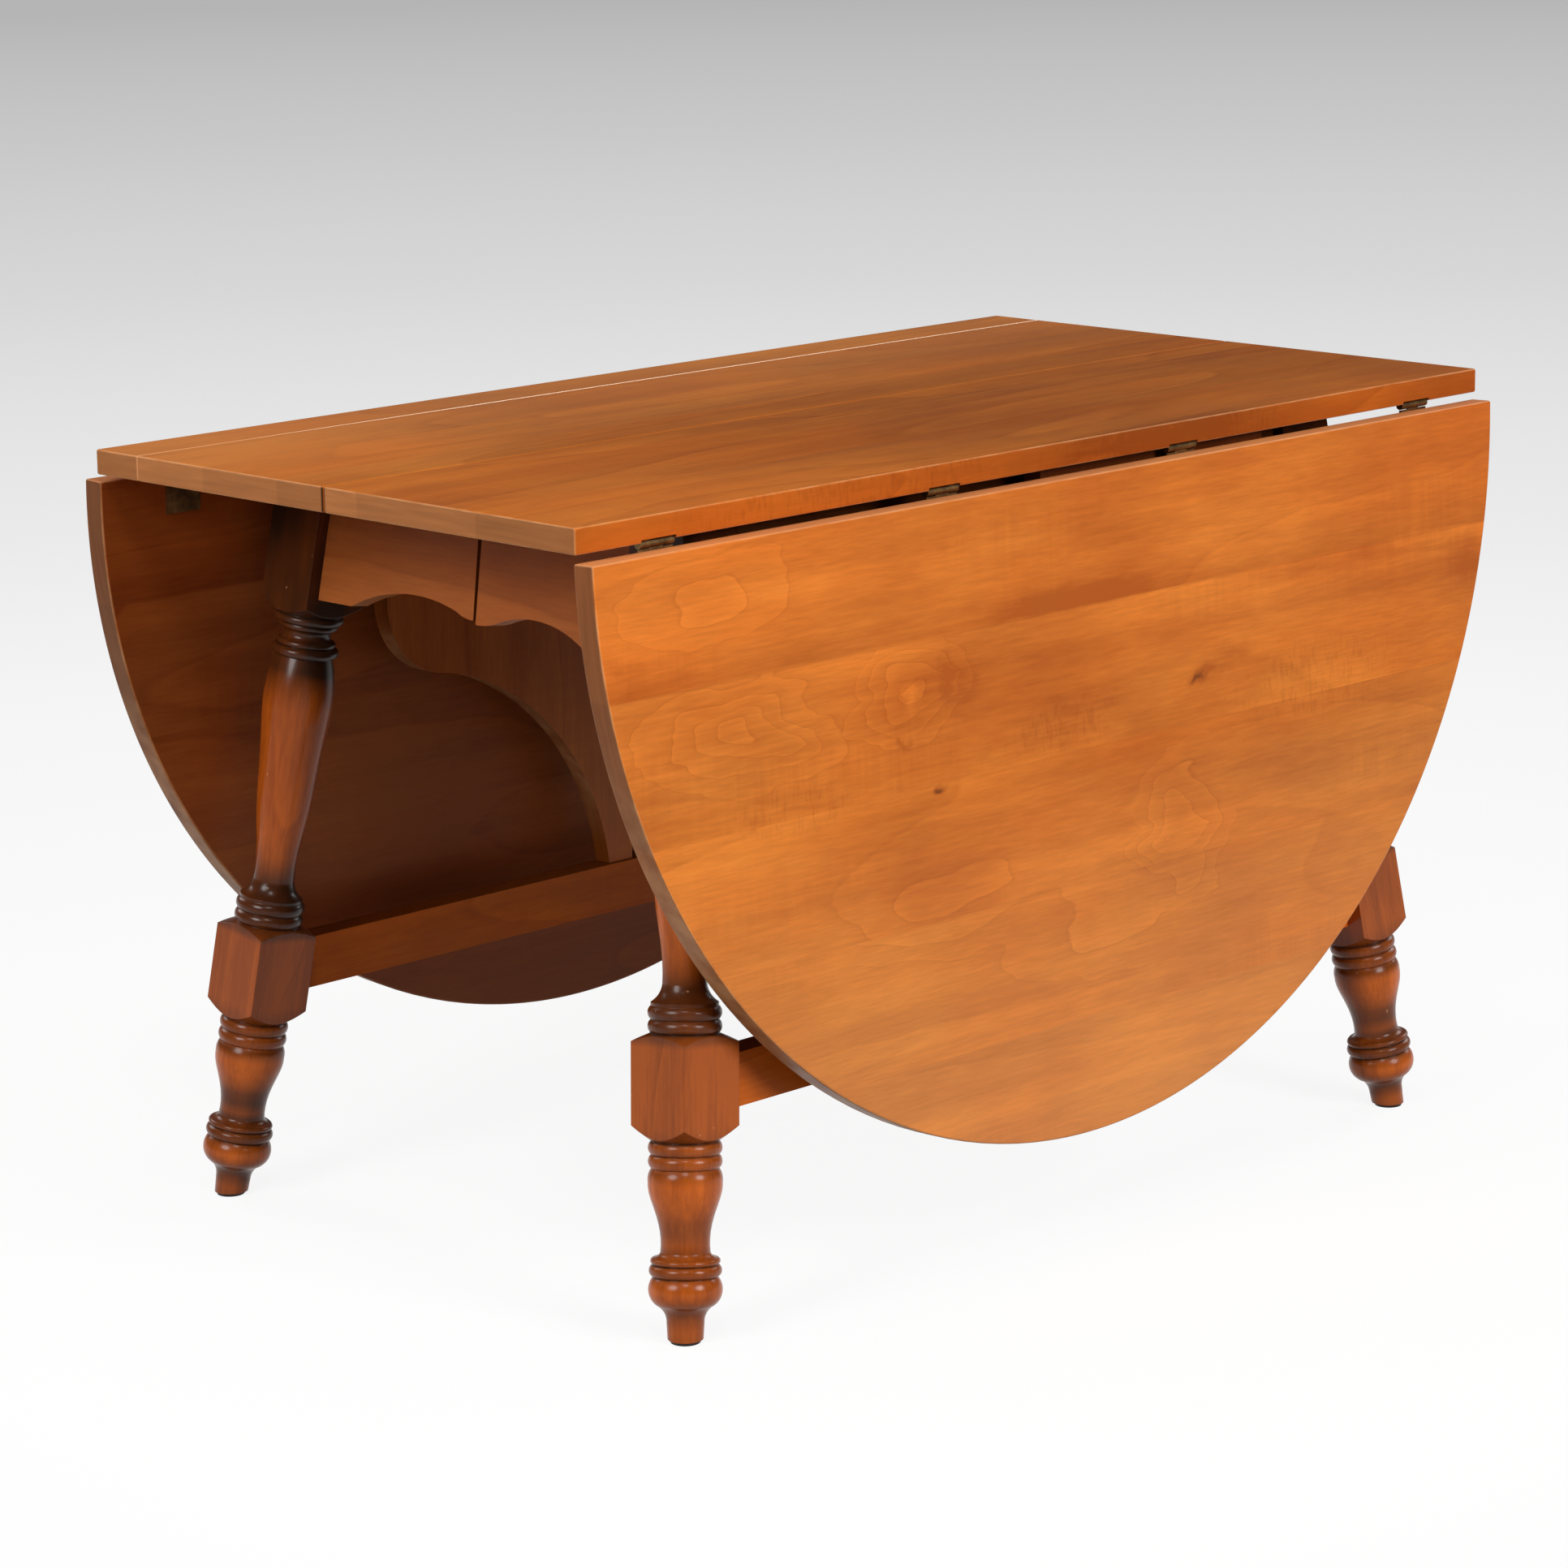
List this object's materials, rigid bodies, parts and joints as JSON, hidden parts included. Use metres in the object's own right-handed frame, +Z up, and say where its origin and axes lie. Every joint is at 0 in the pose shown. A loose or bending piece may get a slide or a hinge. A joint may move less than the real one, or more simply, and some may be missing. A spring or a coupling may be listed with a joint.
{
  "type": "drop-leaf dining table",
  "caption": "Wooden drop-leaf extension table with half-oval leaves that hang from a split top, splayed turned legs, scalloped end aprons and butterfly leaf supports.",
  "frame": {"origin": "on the floor under the middle of the top", "axes": "+X along the split and the leaf hinges, +Y from the near leaf to the far leaf, +Z up"},
  "size_m": [1.234, 0.7511, 0.749],
  "materials": {
    "top": "satin clear coat over amber stain",
    "leaf": "satin clear coat over amber stain",
    "leg": "satin clear coat over amber stain",
    "base": "satin clear coat over amber stain",
    "inner": "bare",
    "hinge": "dull, tarnished",
    "screw": "plain",
    "glide": "plain"
  },
  "bodies": {
    "near_half": {"near_top_panel": "top", "near_left_leg": "leg", "near_right_leg": "leg", "near_foot_glides": "glide", "near_left_end_apron": "base", "near_right_end_apron": "base", "near_side_apron": "base", "near_stretcher": "base", "near_corner_blocks": "inner", "near_block_screws": "screw", "near_left_slide_rail": "inner", "near_right_slide_rail": "inner", "near_slide_screws": "screw", "near_hinge_top_flaps": "hinge", "near_hinge_pins": "hinge", "near_top_flap_screws": "hinge", "alignment_dowels": "inner"},
    "far_half": {"far_top_panel": "top", "far_left_leg": "leg", "far_right_leg": "leg", "far_foot_glides": "glide", "far_left_end_apron": "base", "far_right_end_apron": "base", "far_side_apron": "base", "far_stretcher": "base", "far_corner_blocks": "inner", "far_block_screws": "screw", "far_left_slide_rail": "inner", "far_right_slide_rail": "inner", "far_slide_screws": "screw", "far_hinge_top_flaps": "hinge", "far_hinge_pins": "hinge", "far_top_flap_screws": "hinge", "far_edge_board": "top"},
    "slide_middles": {"left_middle_rail": "inner", "right_middle_rail": "inner"},
    "near_leaf": {"near_leaf": "leaf", "near_hinge_leaf_flaps": "hinge", "near_leaf_flap_screws": "hinge"},
    "far_leaf": {"far_leaf": "leaf", "far_hinge_leaf_flaps": "hinge", "far_leaf_flap_screws": "hinge"},
    "near_wing": {"near_wing": "base", "near_wing_pins": "screw"},
    "far_wing": {"far_wing": "base", "far_wing_pins": "screw"}
  },
  "joints": [
    {"name": "extension", "type": "slide", "parent": "near_half", "child": "far_half", "axis": [0, 1, 0], "range_m": [0, 0.508]},
    {"name": "middle_travel", "type": "slide", "parent": "near_half", "child": "slide_middles", "axis": [0, 1, 0], "range_m": [0, 0.254]},
    {"name": "near_leaf_raise", "type": "hinge", "parent": "near_half", "child": "near_leaf", "pos_m": [0, -0.324, 0.7237], "axis": [-1, 0, 0], "range_deg": [0, 88.1]},
    {"name": "far_leaf_raise", "type": "hinge", "parent": "far_half", "child": "far_leaf", "pos_m": [0, 0.324, 0.7237], "axis": [1, 0, 0], "range_deg": [0, 87.1]},
    {"name": "near_wing_swing", "type": "hinge", "parent": "near_half", "child": "near_wing", "pos_m": [0, -0.30031, 0.5], "axis": [0, 0, -1], "range_deg": [0, 2.5]},
    {"name": "far_wing_swing", "type": "hinge", "parent": "far_half", "child": "far_wing", "pos_m": [0, 0.30031, 0.5], "axis": [0, 0, -1], "range_deg": [0, 2.5]}
  ],
  "couplings": [
    {"joint": "middle_travel", "follows": "extension", "ratio": 0.5}
  ]
}
